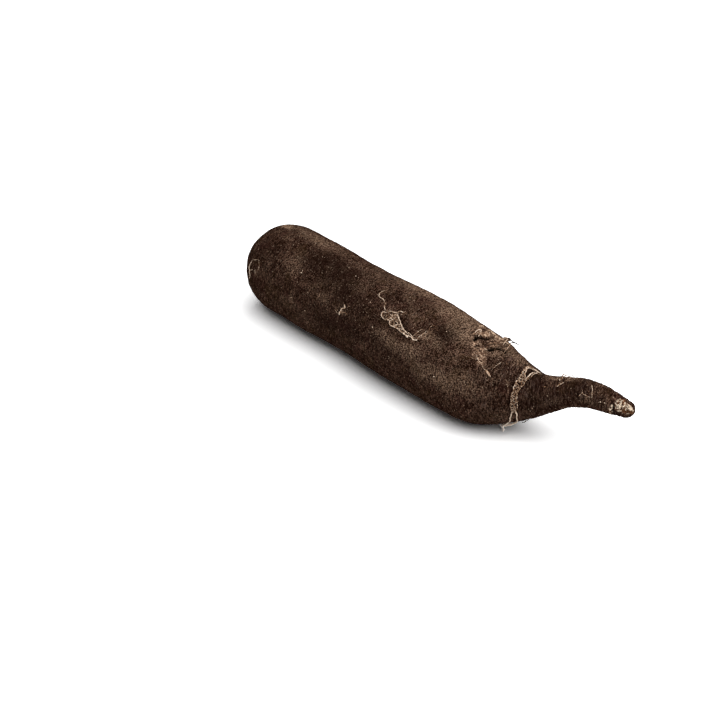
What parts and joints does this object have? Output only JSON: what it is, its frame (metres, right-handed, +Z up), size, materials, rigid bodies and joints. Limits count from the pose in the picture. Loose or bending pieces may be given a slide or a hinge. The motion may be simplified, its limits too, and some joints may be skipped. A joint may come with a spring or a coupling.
{
  "type": "black radish",
  "caption": "Whole long black winter radish with a bent tail, dried rootlets and torn bark on its rough skin, lying on its side.",
  "frame": {"origin": "middle of the part's box at the height of the table it rests on", "axes": "+X along the root from the crown to the tail, +Z up, the tail bends towards +Y"},
  "size_m": [0.307, 0.0714, 0.0609],
  "materials": {
    "root_skin": "rough, corky, nearly black skin",
    "dry_rootlet": "dry straw-coloured fibre",
    "torn_bark": "flaking brown bark"
  },
  "bodies": {
    "root": {"taproot": "root_skin", "flank_rootlets": "dry_rootlet", "neck_rootlets": "dry_rootlet", "shoulder_bark": "torn_bark"}
  },
  "joints": []
}
